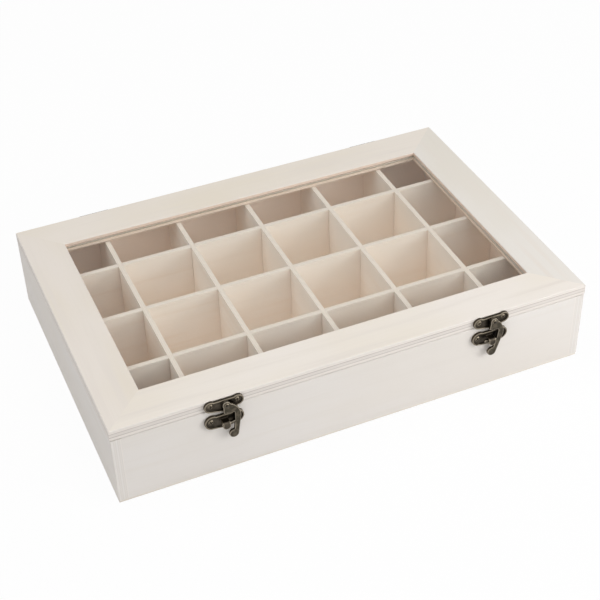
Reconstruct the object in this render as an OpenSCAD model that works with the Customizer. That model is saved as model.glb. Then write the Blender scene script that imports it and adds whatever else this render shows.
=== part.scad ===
// Compartment storage box: a shallow wooden tray with crossing dividers, under a hinged, glazed lid
// that two swing hooks hold down. Sizes are in millimetres. The origin is the middle of the underside,
// with +X to the right, +Y to the back and +Z up.

/* [Tray] */
// Outer width, left to right
box_w = 400; // [320:1:500]
// Outer depth, front to back
box_d = 268; // [200:1:340]
// Height of the tray, without the lid
base_h = 64.2; // [45:1:100]
// Thickness of the walls
wall_t = 8; // [7:0.5:12]
// Thickness of the bottom panel
bottom_t = 2.4; // [2:0.1:6]
// How far the bottom panel's edge stands back from the walls' outer faces
bottom_inset = 0.5; // [0:0.1:2]
// Width of the eased edges of the boards
arris = 0.5; // [0.2:0.1:1]

/* [Compartments] */
// Number of compartments, left to right
cells_x = 6; // [2:1:8]
// Number of compartments, front to back
cells_y = 4; // [2:1:6]
// Thickness of the dividers
divider_t = 4; // [3:0.5:6]
// How far the dividers stop below the rim
divider_drop = 0.4; // [0.2:0.1:10]
// Gap on each side of a divider in its slot, and at its ends
divider_fit = 0.15; // [0.1:0.05:0.4]

/* [Lid] */
// Thickness of the lid's rails
rail_t = 9.5; // [9:0.5:14]
// Width of the lid's rails
rail_w = 34; // [24:1:60]
// Gap between the lid and the rim
lid_gap = 0.3; // [0.3:0.1:1]
// Thickness of the glass
glass_t = 2; // [1.5:0.1:3]
// Depth of the glass's upper face below the top of the lid
glass_drop = 4; // [2.5:0.5:5]
// Depth of the groove for the glass
groove_depth = 5; // [3:0.5:8]
// Gap round the glass in its groove
glass_fit = 0.3; // [0.2:0.1:0.6]

/* [Latch plates] */
// Distance from each end of the box to the middle of its latch
latch_inset = 87.5; // [60:0.5:120]
// Length of a latch plate, end to end
plate_len = 31.2; // [29:0.2:36]
// Height of the hook plate at its round ends
hook_plate_h = 9.8; // [9.6:0.2:11]
// Height of the catch plate at its round ends
catch_plate_h = 12.4; // [11:0.2:13]
// How much lower than at the round ends a plate's upper edge is between them
plate_waist = 0.9; // [0.4:0.1:1.4]
// Distance from a plate's middle down to the end of its lobe
plate_lobe = 7.4; // [7.2:0.1:7.8]
// Radius of the lobe
lobe_r = 5.4; // [5:0.1:5.5]
// Height of a plate's raised rim above the wood
rim_h = 2.6; // [2.2:0.1:3]
// Width of a plate's raised rim
rim_w = 1; // [0.8:0.1:1.4]
// Thickness of a plate inside its rim
dish_t = 1.2; // [1:0.1:1.6]
// Distance between the two screws of a plate
screw_pitch = 21.2; // [20:0.2:22]
// Distance from the top of the lid to the upper edge of the hook plate
plate_top_gap = 0; // [0:0.1:0.6]
// How far the catch sits to the left of the hook plate
catch_shift = 0.5; // [0:0.1:1]

/* [Swing hook] */
// How far the rivet sits to the right of the hook plate's middle
rivet_shift = 0.9; // [0:0.1:1.2]
// How far the rivet sits above the hook plate's middle
rivet_rise = 0.8; // [0:0.1:1]
// Thickness of the hook
hook_t = 2.6; // [2:0.1:3]
// Radius of the hook's head
head_r = 3.1; // [2.8:0.1:3.4]
// Distance from the rivet to the inner edge of the hook's arm
arm_in = 6; // [5.4:0.1:6.4]
// Width of the hook's arm
arm_w = 4.8; // [4.4:0.1:5.4]
// Radius of the arm's outer curve
arm_r = 16; // [15:0.1:17]
// Radius of the hollow between the head and the arm
shoulder_r = 3; // [1:0.1:4]
// Distance from the rivet down to the top of the notch
notch_top = 7.8; // [7:0.1:8.4]
// Radius, about the rivet, of the lip's upper edge
lip_r = 18; // [17.4:0.1:18.6]
// Thickness of the lip
lip_t = 2.1; // [1.6:0.1:2.6]
// Distance from the rivet down to the middle of the tail's round end
tail_drop = 30.2; // [29:0.1:31.4]
// How far the tail's round end sits to the right of the rivet
tail_out = 4.5; // [3.8:0.1:5.2]
// Radius of the tail's round end
tail_r = 3.8; // [3.2:0.1:4.2]
// Width of the tail
tail_w = 3.8; // [3.2:0.1:4.2]
// Gap between the plates' rims and the back of the hook
hook_fit = 0.4; // [0.2:0.1:0.8]
// Lean of the right hook, clockwise as seen from the front
right_lean = 9; // [0:0.5:9.5]
// Radius of the rivet's shank
rivet_r = 1.2; // [1:0.1:1.6]
// Radius of the rivet's head
rivet_head_r = 1.9; // [1.7:0.1:2.2]
// Height of the rivet's head
rivet_head_h = 0.9; // [0.6:0.1:1.2]

/* [Catch tongue] */
// Width of the tongue
tongue_w = 6; // [5:0.1:6.4]
// Thickness of the tongue
tongue_t = 1.4; // [1:0.1:1.6]
// Gap between the tongue's corner and the lip that slides under it
tongue_fit = 0.25; // [0.2:0.05:0.5]
// Gap between the hook and the tongue's turned-down end
tongue_gap = 0.6; // [0.4:0.1:1]
// How far the end of the tongue hangs below its upper face
tongue_drop = 6.2; // [5:0.1:7]
// Inner radius of the tongue's bend
bend_r = 0.8; // [0.4:0.1:1]

/* [Hinges] */
// Distance from each end of the box to the middle of its hinge
hinge_inset = 70; // [50:1:110]
// Length of a hinge
hinge_len = 26; // [20:1:40]
// Thickness of a leaf
leaf_t = 1; // [0.8:0.1:1.2]
// Distance from the pin's axis to the free edge of a leaf
leaf_h = 8.8; // [8:0.1:9]
// Outer radius of the knuckles
knuckle_r = 1.9; // [1.8:0.1:2.2]
// Radius of the pin
pin_r = 0.9; // [0.7:0.05:1]
// Distance between the two screws of a leaf
leaf_screw_pitch = 16; // [12:1:16]

/* [Screws] */
// Radius of the shanks
screw_r = 1.1; // [0.9:0.05:1.2]
// Length of a screw in the wood
screw_len = 5; // [4:0.5:6]
// Radius of the heads on the latch plates
plate_head_r = 2.3; // [2:0.1:2.6]
// Height of the heads on the latch plates
plate_head_h = 1; // [0.7:0.1:1.2]
// Radius of the heads on the hinge leaves
leaf_head_r = 1.9; // [1.6:0.1:2]
// Height of the heads on the hinge leaves
leaf_head_h = 0.6; // [0.4:0.1:0.6]
// Width of the slots in the heads
slot_w = 0.5; // [0.3:0.1:0.7]

/* [Hidden] */
$fn = 48;
cut = 1; // overrun of every cut past the face that it opens
pin_fit = 0.05; // radial gap round a pin, a rivet or a screw in its hole
seat_fit = 0.05; // gap between a turning piece and the face that it turns on
knuckle_gap = 0.15; // gap between neighbouring knuckles
knuckle_count = 5; // knuckles in a hinge, the odd ones on the lower leaf
leaf_clear = 0.2; // gap between a leaf's edge and the other leaf's knuckles
knuckle_clear = 0.1; // gap between the knuckles and the wood
pilot_spare = 0.5; // how much deeper than its screw a pilot hole is
slot_share = 0.5; // depth of a screw's slot, as a share of its head's height
root_share = 0.85; // left edge of the hook's root, as a share of its head's radius
root_round_share = 0.25; // rounding of the root's lower corner, as a share of the head's radius
lip_left_share = 0.8; // how far left the lip reaches, as a share of the tongue's width
tangent_in = 0.02; // how far inside the circles' edges the ends of a plate's lower edges lie
corner_share = 0.6; // radius in the notch's upper corner, as a share of the head's radius
tail_start_share = 0.45; // where the tail leaves the arm, as a share of its way down to the end
rivet_seat_share = 0.72; // radius of the rivet's seat on the plate, as a share of the hook's head

pale_wood = "#E9E2D8";
wall_wood = "#DED7CC";
inner_wood = "#DCC9AE";
panel_wood = "#CDB897";
glass_tint = "#C8D6D480";
bronze = "#5A5040";
dark_bronze = "#443C30";

inner_w = box_w - 2 * wall_t;
inner_d = box_d - 2 * wall_t;
cell_w = (inner_w - (cells_x - 1) * divider_t) / cells_x;
cell_d = (inner_d - (cells_y - 1) * divider_t) / cells_y;
divider_h = base_h - bottom_t - divider_drop;
slot_h = divider_h / 2 + divider_fit;
wall_h = base_h - bottom_t;

lid_z = base_h + lid_gap;
box_h = lid_z + rail_t;
groove_h = glass_t + glass_fit;
groove_z = rail_t - glass_drop - glass_t;

face_y = -box_d / 2;
latch_x = box_w / 2 - latch_inset;
plate_z = box_h - plate_top_gap - hook_plate_h / 2;
hook_y = rim_h + hook_fit;
rivet_z = plate_z + rivet_rise;
reach = arm_in + arm_w;
arm_centre = [reach - arm_r, -(notch_top + lip_r) / 2];

// The tongue's lower corner clears the arc of the lip by the named gap.
stem_left = catch_shift + rivet_shift + tongue_w / 2;
stem_low = sqrt(pow(lip_r - tongue_fit, 2) - pow(stem_left, 2));
catch_z = rivet_z - stem_low + tongue_t / 2;
tongue_y = hook_y + hook_t + tongue_gap;

hinge_x = box_w / 2 - hinge_inset;
hinge_y = box_d / 2 + knuckle_r + knuckle_clear;
hinge_z = base_h + lid_gap / 2;
knuckle_len = hinge_len / knuckle_count;
leaf_screw_z = (knuckle_r + leaf_clear + leaf_h) / 2;

// Turns a drawing in X and Y upright: its Y becomes Z, and its thickness runs forwards, along -Y.
module upright(thickness) {
    rotate([90, 0, 0])
        linear_extrude(thickness)
            children();
}

// The section of a wall: thickness along X, height along Y, both upper edges eased.
module wall_section() {
    polygon([
        [0, 0],
        [wall_t, 0],
        [wall_t, wall_h - arris],
        [wall_t - arris, wall_h],
        [arris, wall_h],
        [0, wall_h - arris]
    ]);
}

// A wall along X with its outer face on the plane y = 0 and its body behind it.
module long_wall() {
    translate([-inner_w / 2, 0, bottom_t])
        rotate([90, 0, 90])
            linear_extrude(inner_w)
                wall_section();
}

// The outline of a side wall from above, with its two outer corners eased.
module side_wall_plan() {
    polygon([
        [0, -box_d / 2 + arris],
        [arris, -box_d / 2],
        [wall_t, -box_d / 2],
        [wall_t, box_d / 2],
        [arris, box_d / 2],
        [0, box_d / 2 - arris]
    ]);
}

// The left wall: its outer face is on the plane x = 0.
module side_wall() {
    translate([0, 0, bottom_t])
        intersection() {
            linear_extrude(wall_h)
                side_wall_plan();
            translate([0, box_d / 2, 0])
                upright(box_d)
                    wall_section();
        }
}

// Pilot holes for one pair of screws, driven backwards into the wood from the plane y = 0.
module pilot_pair(pitch) {
    for (side = [-1, 1])
        translate([side * pitch / 2, screw_len + pilot_spare, 0])
            rotate([90, 0, 0])
                cylinder(r = screw_r + pin_fit, h = screw_len + pilot_spare + cut);
}

// A screw that runs backwards from the plane y = 0, with a domed head in front of depth seat.
module screw(seat, head_r_mm, head_h) {
    dome_r = (head_r_mm * head_r_mm + head_h * head_h) / (2 * head_h);
    difference() {
        union() {
            translate([0, screw_len, 0])
                rotate([90, 0, 0])
                    cylinder(r = screw_r, h = screw_len + seat + head_h / 2);
            translate([0, -seat, 0])
                rotate([90, 0, 0])
                    rotate_extrude()
                        intersection() {
                            translate([0, head_h - dome_r])
                                circle(r = dome_r);
                            square([head_r_mm, head_h]);
                        }
        }
        translate([-head_r_mm, -seat - head_h - cut, -slot_w / 2])
            cube([2 * head_r_mm, head_h * slot_share + cut, slot_w]);
    }
}

// Two screws, side by side.
module screw_pair(pitch, seat, head_r_mm, head_h) {
    for (side = [-1, 1])
        translate([side * pitch / 2, 0, 0])
            screw(seat, head_r_mm, head_h);
}

module base_bottom_panel() {
    color(panel_wood)
        translate([-box_w / 2 + bottom_inset, -box_d / 2 + bottom_inset, 0])
            cube([box_w - 2 * bottom_inset, box_d - 2 * bottom_inset, bottom_t]);
}

module base_front_wall() {
    color(wall_wood)
        difference() {
            translate([0, face_y, 0])
                long_wall();
            for (side = [-1, 1])
                translate([side * latch_x - catch_shift, face_y, catch_z])
                    pilot_pair(screw_pitch);
        }
}

module base_back_wall() {
    color(wall_wood)
        rotate([0, 0, 180])
            difference() {
                translate([0, face_y, 0])
                    long_wall();
                for (side = [-1, 1])
                    translate([side * hinge_x, face_y, hinge_z - leaf_screw_z])
                        pilot_pair(leaf_screw_pitch);
            }
}

module base_left_wall() {
    color(wall_wood)
        translate([-box_w / 2, 0, 0])
            side_wall();
}

module base_right_wall() {
    color(wall_wood)
        mirror([1, 0, 0])
            translate([-box_w / 2, 0, 0])
                side_wall();
}

// Where the middle of divider i lies, from the first inner face.
function divider_at(i, cell) = i * cell + (i - 1 / 2) * divider_t;

// A divider's board with a row of half-depth slots: open to the top or to the bottom.
module slotted_board(length, cell, count, from_top) {
    difference() {
        square([length, divider_h]);
        for (i = [1 : count])
            translate([
                divider_at(i, cell) - divider_fit - divider_t / 2 - divider_fit,
                from_top ? divider_h - slot_h : -cut
            ])
                square([divider_t + 2 * divider_fit, slot_h + cut]);
    }
}

module divider_long(i) {
    color(inner_wood)
        translate([-inner_w / 2 + divider_fit, -inner_d / 2 + divider_at(i, cell_d) + divider_t / 2, bottom_t])
            upright(divider_t)
                slotted_board(inner_w - 2 * divider_fit, cell_w, cells_x - 1, true);
}

module divider_cross(i) {
    color(inner_wood)
        translate([-inner_w / 2 + divider_at(i, cell_w) - divider_t / 2, -inner_d / 2 + divider_fit, bottom_t])
            rotate([90, 0, 90])
                linear_extrude(divider_t)
                    slotted_board(inner_d - 2 * divider_fit, cell_d, cells_y - 1, false);
}

// The section of a lid rail: width along X from the outer edge, height along Y, with the glass groove.
module rail_section() {
    polygon([
        [arris, 0],
        [rail_w, 0],
        [rail_w, groove_z],
        [rail_w - groove_depth, groove_z],
        [rail_w - groove_depth, groove_z + groove_h],
        [rail_w, groove_z + groove_h],
        [rail_w, rail_t - arris],
        [rail_w - arris, rail_t],
        [arris, rail_t],
        [0, rail_t - arris],
        [0, arris]
    ]);
}

// A rail along X, mitred at both ends, with its outer edge on the plane y = 0.
module rail(length) {
    intersection() {
        translate([-length / 2, 0, 0])
            rotate([90, 0, 90])
                linear_extrude(length)
                    rail_section();
        linear_extrude(rail_t)
            polygon([
                [-length / 2, 0],
                [length / 2, 0],
                [length / 2 - rail_w, rail_w],
                [rail_w - length / 2, rail_w]
            ]);
    }
}

module lid_front_rail() {
    color(pale_wood)
        difference() {
            translate([0, face_y, lid_z])
                rail(box_w);
            for (side = [-1, 1])
                translate([side * latch_x, face_y, plate_z])
                    pilot_pair(screw_pitch);
        }
}

module lid_back_rail() {
    color(pale_wood)
        rotate([0, 0, 180])
            difference() {
                translate([0, face_y, lid_z])
                    rail(box_w);
                for (side = [-1, 1])
                    translate([side * hinge_x, face_y, hinge_z + leaf_screw_z])
                        pilot_pair(leaf_screw_pitch);
            }
}

module lid_left_rail() {
    color(pale_wood)
        rotate([0, 0, -90])
            translate([0, -box_w / 2, lid_z])
                rail(box_d);
}

module lid_right_rail() {
    color(pale_wood)
        rotate([0, 0, 90])
            translate([0, -box_w / 2, lid_z])
                rail(box_d);
}

module lid_glass() {
    glass_w = box_w - 2 * rail_w + 2 * (groove_depth - glass_fit);
    glass_d = box_d - 2 * rail_w + 2 * (groove_depth - glass_fit);
    color(glass_tint)
        translate([-glass_w / 2, -glass_d / 2, lid_z + groove_z])
            cube([glass_w, glass_d, glass_t]);
}

// The direction that both radii take to the lower common tangent of two circles, the second to the right.
function tangent_way(a, ra, b, rb) =
    let (
        d = norm(b - a),
        u = (b - a) / d,
        k = (ra - rb) / d
    )
    k * u + sqrt(1 - k * k) * [u[1], -u[0]];

// The outline of a latch plate, drawn in by a margin: two round ends and a lobe that hangs between them.
module plate_outline(height, lobe_x, margin) {
    end_r = height / 2 - margin;
    low_r = lobe_r - margin;
    top = height / 2 - plate_waist - margin;
    left = [height / 2 - plate_len / 2, 0];
    right = -left;
    lobe = [lobe_x, lobe_r - plate_lobe];
    to_left = tangent_way(left, end_r, lobe, low_r);
    to_right = tangent_way(lobe, low_r, right, end_r);
    for (end = [left, right])
        translate(end)
            circle(r = end_r);
    translate(lobe)
        circle(r = low_r);
    polygon([
        [left[0], top],
        left + (end_r - tangent_in) * to_left,
        lobe + (low_r - tangent_in) * to_left,
        lobe + (low_r - tangent_in) * to_right,
        right + (end_r - tangent_in) * to_right,
        [right[0], top]
    ]);
}

// A plate with a raised rim round a shallow dish, its back on the plane y = 0, bored for its screws.
module rimmed_plate(height, lobe_x) {
    upright_holes = [-screw_pitch / 2, screw_pitch / 2];
    difference() {
        upright(rim_h)
            plate_outline(height, lobe_x, 0);
        translate([0, -dish_t, 0])
            upright(rim_h)
                plate_outline(height, lobe_x, rim_w);
        for (x = upright_holes)
            translate([x, cut, 0])
                rotate([90, 0, 0])
                    cylinder(r = screw_r + pin_fit, h = dish_t + 2 * cut);
    }
}

// The plate that carries the hook, with a round seat under the hook's head.
module hook_plate() {
    color(bronze)
        difference() {
            union() {
                rimmed_plate(hook_plate_h, rivet_shift);
                translate([rivet_shift, 0, rivet_rise])
                    rotate([90, 0, 0])
                        cylinder(r = head_r * rivet_seat_share, h = hook_y - seat_fit);
            }
            translate([rivet_shift, cut, rivet_rise])
                rotate([90, 0, 0])
                    cylinder(r = rivet_r + pin_fit, h = hook_y + 2 * cut);
        }
}

// The tongue's section: out of the plate, round a bend and down. X is the depth, Y the height.
module tongue_section() {
    bend_out = bend_r + tongue_t;
    stem_end = tongue_y - bend_r;
    translate([dish_t / 2, -tongue_t])
        square([stem_end - dish_t / 2, tongue_t]);
    translate([stem_end, -bend_out])
        intersection() {
            difference() {
                circle(r = bend_out);
                circle(r = bend_r);
            }
            square(bend_out);
        }
    translate([tongue_y, -tongue_drop])
        square([tongue_t, tongue_drop - bend_out]);
}

// The tongue's outline from the front: straight sides and a round lower end.
module tongue_front() {
    translate([-tongue_w / 2, tongue_w / 2 - tongue_drop])
        square([tongue_w, tongue_drop - tongue_w / 2]);
    translate([0, tongue_w / 2 - tongue_drop])
        circle(r = tongue_w / 2);
}

module tongue() {
    intersection() {
        rotate([90, 0, -90])
            translate([0, 0, -tongue_w / 2])
                linear_extrude(tongue_w)
                    tongue_section();
        upright(tongue_y + tongue_t)
            tongue_front();
    }
}

module catch_plate() {
    color(dark_bronze)
        union() {
            rimmed_plate(catch_plate_h, 0);
            translate([0, 0, tongue_t / 2])
                tongue();
        }
}

// The point to the right of the line from a to b that lies ra from a and rb from b.
function meet(a, ra, b, rb) =
    let (
        d = norm(b - a),
        u = (b - a) / d,
        t = (ra * ra - rb * rb + d * d) / (2 * d),
        h = sqrt(ra * ra - t * t)
    )
    a + t * u + h * [-u[1], u[0]];

// The hook's root and arm, inside the arm's outer curve.
module hook_arm() {
    root_left = head_r * root_share;
    root_round = head_r * root_round_share;
    intersection() {
        upright(hook_t)
            translate(arm_centre)
                circle(r = arm_r);
        union() {
            upright(hook_t)
                translate([-root_left, root_round - notch_top])
                    square([root_left + reach, notch_top - root_round]);
            upright(hook_t)
                translate([root_round - root_left, -notch_top])
                    square([root_left + reach - root_round, notch_top]);
            upright(hook_t)
                translate([root_round - root_left, root_round - notch_top])
                    circle(r = root_round);
            upright(hook_t)
                translate([arm_in, arm_centre[1] - arm_r])
                    square([arm_w, 2 * arm_r]);
        }
    }
}

// The hollow shoulder, where the head runs into the arm.
module hook_shoulder() {
    hollow = meet([0, 0], head_r + shoulder_r, arm_centre, arm_r + shoulder_r);
    upright(hook_t)
        difference() {
            polygon([[0, 0], hollow, arm_centre + (hollow - arm_centre) * arm_r / (arm_r + shoulder_r)]);
            translate(hollow)
                circle(r = shoulder_r);
        }
}

// The rounding in the notch's upper corner.
module notch_corner() {
    corner_r = head_r * corner_share;
    upright(hook_t)
        translate([arm_in - corner_r, -notch_top - corner_r])
            difference() {
                square(corner_r + arm_w / 4);
                circle(r = corner_r);
            }
}

// The lip: a band about the rivet that slides under the tongue, with a round tip.
module hook_lip() {
    mid_r = lip_r + lip_t / 2;
    left = catch_shift + rivet_shift + tongue_w * lip_left_share / 2;
    angle = asin(left / mid_r);
    upright(hook_t)
        intersection() {
            difference() {
                circle(r = lip_r + lip_t);
                circle(r = lip_r);
            }
            polygon([
                [0, 0],
                [-2 * lip_r * tan(angle), -2 * lip_r],
                [arm_in + arm_w / 2, -2 * lip_r],
                [arm_in + arm_w / 2, 0]
            ]);
        }
    upright(hook_t)
        translate([-mid_r * sin(angle), -mid_r * cos(angle)])
            circle(r = lip_t / 2);
}

// The finger tail, from the arm's outer edge down to its round end.
module hook_tail() {
    tail_top = tail_drop * tail_start_share;
    tail_right = arm_centre[0] + sqrt(arm_r * arm_r - pow(tail_top + arm_centre[1], 2));
    upright(hook_t)
        polygon([
            [arm_in, -tail_top],
            [tail_right, -tail_top],
            [tail_out + tail_r, -tail_drop],
            [tail_out + tail_r - tail_w, -tail_drop],
            [arm_in, -lip_r]
        ]);
    upright(hook_t)
        translate([tail_out, -tail_drop])
            circle(r = tail_r);
}

module hook_solid() {
    upright(hook_t)
        circle(r = head_r);
    hook_arm();
    hook_shoulder();
    notch_corner();
    hook_lip();
    hook_tail();
}

// The hook with its back at depth hook_y, turned about its rivet.
module swing_hook(lean) {
    color(bronze)
        translate([rivet_shift, -hook_y, rivet_rise])
            rotate([0, lean, 0])
                difference() {
                    hook_solid();
                    translate([0, cut, 0])
                        rotate([90, 0, 0])
                            cylinder(r = rivet_r + pin_fit, h = hook_t + 2 * cut);
                }
}

// A rivet through hook and plate, with a domed head in front of the hook.
module hook_rivet() {
    seat = hook_y + hook_t + seat_fit;
    dome_r = (rivet_head_r * rivet_head_r + rivet_head_h * rivet_head_h) / (2 * rivet_head_h);
    color(dark_bronze)
        translate([rivet_shift, 0, rivet_rise])
            rotate([90, 0, 0])
                union() {
                    cylinder(r = rivet_r, h = seat + rivet_head_h / 2);
                    translate([0, 0, seat])
                        rotate_extrude()
                            intersection() {
                                translate([0, rivet_head_h - dome_r])
                                    circle(r = dome_r);
                                square([rivet_head_r, rivet_head_h]);
                            }
                }
}

// Places a latch piece on the lid's front edge: side is -1 for the left latch and 1 for the right.
module on_lid(side) {
    translate([side * latch_x, face_y, plate_z])
        children();
}

// Places a catch piece on the front wall.
module on_wall(side) {
    translate([side * latch_x - catch_shift, face_y, catch_z])
        children();
}

module catch_screws() {
    color(dark_bronze)
        for (side = [-1, 1])
            on_wall(side)
                screw_pair(screw_pitch, dish_t, plate_head_r, plate_head_h);
}

module hook_plate_screws() {
    color(dark_bronze)
        for (side = [-1, 1])
            on_lid(side)
                screw_pair(screw_pitch, dish_t, plate_head_r, plate_head_h);
}

// Places a hinge piece at the pin's axis on the back, turned to face the back.
module on_back(side) {
    translate([side * hinge_x, hinge_y, hinge_z])
        rotate([0, 0, 180])
            children();
}

// Knuckle k of a hinge, with the strap that joins it to its leaf below. Y points to the wood.
module knuckle(k) {
    gap_left = k == 1 ? 0 : knuckle_gap / 2;
    gap_right = k == knuckle_count ? 0 : knuckle_gap / 2;
    left = (k - 1) * knuckle_len - hinge_len / 2 + gap_left;
    width = knuckle_len - gap_left - gap_right;
    translate([left, 0, 0])
        rotate([0, 90, 0])
            cylinder(r = knuckle_r, h = width);
    translate([left, knuckle_r + knuckle_clear - leaf_t, -knuckle_r - leaf_clear])
        cube([width, leaf_t, knuckle_r + leaf_clear]);
}

// A leaf that hangs down from the pin's axis, with every second knuckle from the first one named.
module leaf(first) {
    color(bronze)
        difference() {
            union() {
                translate([-hinge_len / 2, knuckle_r + knuckle_clear - leaf_t, -leaf_h])
                    cube([hinge_len, leaf_t, leaf_h - knuckle_r - leaf_clear]);
                for (k = [first : 2 : knuckle_count])
                    knuckle(k);
            }
            translate([-hinge_len / 2 - cut, 0, 0])
                rotate([0, 90, 0])
                    cylinder(r = pin_r + pin_fit, h = hinge_len + 2 * cut);
            for (side = [-1, 1])
                translate([side * leaf_screw_pitch / 2, knuckle_r + knuckle_clear + cut, -leaf_screw_z])
                    rotate([90, 0, 0])
                        cylinder(r = screw_r + pin_fit, h = leaf_t + 2 * cut);
        }
}

module hinge_base_leaf(side) {
    on_back(side)
        leaf(1);
}

module hinge_lid_leaf(side) {
    on_back(side)
        mirror([0, 0, 1])
            leaf(2);
}

module hinge_pin(side) {
    color(dark_bronze)
        on_back(side)
            translate([-hinge_len / 2, 0, 0])
                rotate([0, 90, 0])
                    cylinder(r = pin_r, h = hinge_len);
}

// The four screws of the leaves on one side of the pins: direction is -1 below and 1 above.
module leaf_screws(direction) {
    color(dark_bronze)
        for (side = [-1, 1])
            translate([side * hinge_x, box_d / 2, hinge_z + direction * leaf_screw_z])
                rotate([0, 0, 180])
                    screw_pair(leaf_screw_pitch, leaf_t, leaf_head_r, leaf_head_h);
}

base_bottom_panel();
base_front_wall();
base_back_wall();
base_left_wall();
base_right_wall();
for (i = [1 : cells_y - 1])
    divider_long(i);
for (i = [1 : cells_x - 1])
    divider_cross(i);
on_wall(-1) catch_plate();  // catch_plate_left
on_wall(1) catch_plate();  // catch_plate_right
catch_screws();
hinge_base_leaf(-1);  // hinge_base_leaf_left
hinge_base_leaf(1);  // hinge_base_leaf_right
hinge_pin(-1);  // hinge_pin_left
hinge_pin(1);  // hinge_pin_right
leaf_screws(-1);  // hinge_base_screws
lid_front_rail();
lid_back_rail();
lid_left_rail();
lid_right_rail();
lid_glass();
on_lid(-1) hook_plate();  // hook_plate_left
on_lid(1) hook_plate();  // hook_plate_right
hook_plate_screws();
on_lid(-1) hook_rivet();  // hook_rivet_left
on_lid(1) hook_rivet();  // hook_rivet_right
hinge_lid_leaf(-1);  // hinge_lid_leaf_left
hinge_lid_leaf(1);  // hinge_lid_leaf_right
leaf_screws(1);  // hinge_lid_screws
on_lid(-1) swing_hook(0);  // swing_hook_left
on_lid(1) swing_hook(right_lean);  // swing_hook_right
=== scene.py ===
# %% [markdown]
# # A glazed compartment box in pale plywood
#
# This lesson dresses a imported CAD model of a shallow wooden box. The box has 24 compartments, a
# lid with a glass pane, two small swing hooks on the front and two butt hinges at the back. The
# CAD model gives every board at its real size, so the lesson adds what CAD leaves out: the figure
# of the wood, the plies on its cut edges, the soft forms and the worn finish of the cast
# fittings, and the light.
#
# The first cell loads the frame. All lengths in Blender are metres, so a helper turns the
# millimetres that a maker works in into metres.

# %% Load the frame
import math

import bmesh
import bpy
import numpy as np
from mathutils import Matrix, Vector


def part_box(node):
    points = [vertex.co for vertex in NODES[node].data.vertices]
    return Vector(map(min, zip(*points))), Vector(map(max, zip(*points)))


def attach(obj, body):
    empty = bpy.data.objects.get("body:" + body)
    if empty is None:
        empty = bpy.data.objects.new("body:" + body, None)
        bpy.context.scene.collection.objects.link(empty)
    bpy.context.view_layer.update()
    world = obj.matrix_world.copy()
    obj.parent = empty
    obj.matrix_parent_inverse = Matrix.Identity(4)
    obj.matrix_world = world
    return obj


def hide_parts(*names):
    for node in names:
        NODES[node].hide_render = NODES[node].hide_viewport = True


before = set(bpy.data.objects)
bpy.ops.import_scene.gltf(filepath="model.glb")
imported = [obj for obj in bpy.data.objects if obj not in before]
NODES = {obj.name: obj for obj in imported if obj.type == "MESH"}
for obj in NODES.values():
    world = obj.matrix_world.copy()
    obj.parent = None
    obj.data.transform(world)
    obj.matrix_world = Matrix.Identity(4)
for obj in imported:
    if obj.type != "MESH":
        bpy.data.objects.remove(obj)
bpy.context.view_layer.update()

MM = 0.001


def mm(value):
    """Millimetres as metres."""
    return value * MM


# %% [markdown]
# ## Camera
#
# The photograph was taken from the front left and above. A camera is described by where it
# stands, which way it looks, how far it is rolled, and its lens. Three angles fix the direction:
# the azimuth round the box, the elevation above the table, and a small roll. Building the matrix
# by hand, instead of pointing the camera at a target, keeps the roll and the exact framing.

# %% Camera
CAMERA_AT = Vector((mm(-332.6), mm(-816.9), mm(738.6)))
AZIMUTH, ELEVATION, ROLL = math.radians(22.563), math.radians(38.82), math.radians(-1.649)
LENS_MM = 79.69
SENSOR_MM = 36
NEAREST_MM = 10


def aim(azimuth, elevation, roll):
    """The camera's turn as a matrix: its columns are the picture's right, its up and its back."""
    forward = Vector((
        math.sin(azimuth) * math.cos(elevation),
        math.cos(azimuth) * math.cos(elevation),
        -math.sin(elevation),
    ))
    level = forward.cross(Vector((0, 0, 1))).normalized()
    upright = level.cross(forward)
    right = math.cos(roll) * level + math.sin(roll) * upright
    up = math.cos(roll) * upright - math.sin(roll) * level
    return Matrix((right, up, -forward)).transposed()


camera = bpy.data.objects.new("camera", bpy.data.cameras.new("camera"))
bpy.context.scene.collection.objects.link(camera)
camera.data.lens = LENS_MM
camera.data.sensor_width = SENSOR_MM
camera.data.clip_start = mm(NEAREST_MM)
camera.matrix_world = Matrix.Translation(CAMERA_AT) @ aim(AZIMUTH, ELEVATION, ROLL).to_4x4()
bpy.context.scene.camera = camera
print("camera stands", round(CAMERA_AT.length, 3), "m from the middle of the underside")

# %% [markdown]
# ## Helpers for materials
#
# Colours are written as the hex values that a picture editor shows. Those are sRGB values, and
# shaders work with linear light, so one function turns the first into the second. A second
# function adds one node, sets what is constant and links what varies. With it a material reads as
# a list of steps.

# %% Helpers for materials
def shade(code):
    """The linear colour of an sRGB hex value."""
    parts = [int(code[i:i + 2], 16) / 255 for i in (1, 3, 5)]
    linear = [p / 12.92 if p <= 0.04045 else ((p + 0.055) / 1.055) ** 2.4 for p in parts]
    return (*linear, 1.0)


def add_node(tree, kind, sockets=None, **settings):
    """Adds a node. Each entry of sockets is an input with the output to link, or its value."""
    node = tree.nodes.new(kind)
    for name, value in settings.items():
        setattr(node, name, value)
    for name, source in (sockets or {}).items():
        if isinstance(source, bpy.types.NodeSocket):
            tree.links.new(source, node.inputs[name])
        else:
            node.inputs[name].default_value = source
    return node


def calculate(tree, operation, *values):
    """The result of one Math node on the values, which are outputs or numbers."""
    node = add_node(tree, "ShaderNodeMath", dict(enumerate(values)), operation=operation)
    return node.outputs[0]


def blend_colours(tree, share, first, second):
    """The colour between first and second, by share."""
    sockets = {0: share, 6: first, 7: second}
    node = add_node(tree, "ShaderNodeMix", sockets, data_type="RGBA")
    return node.outputs[2]


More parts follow.
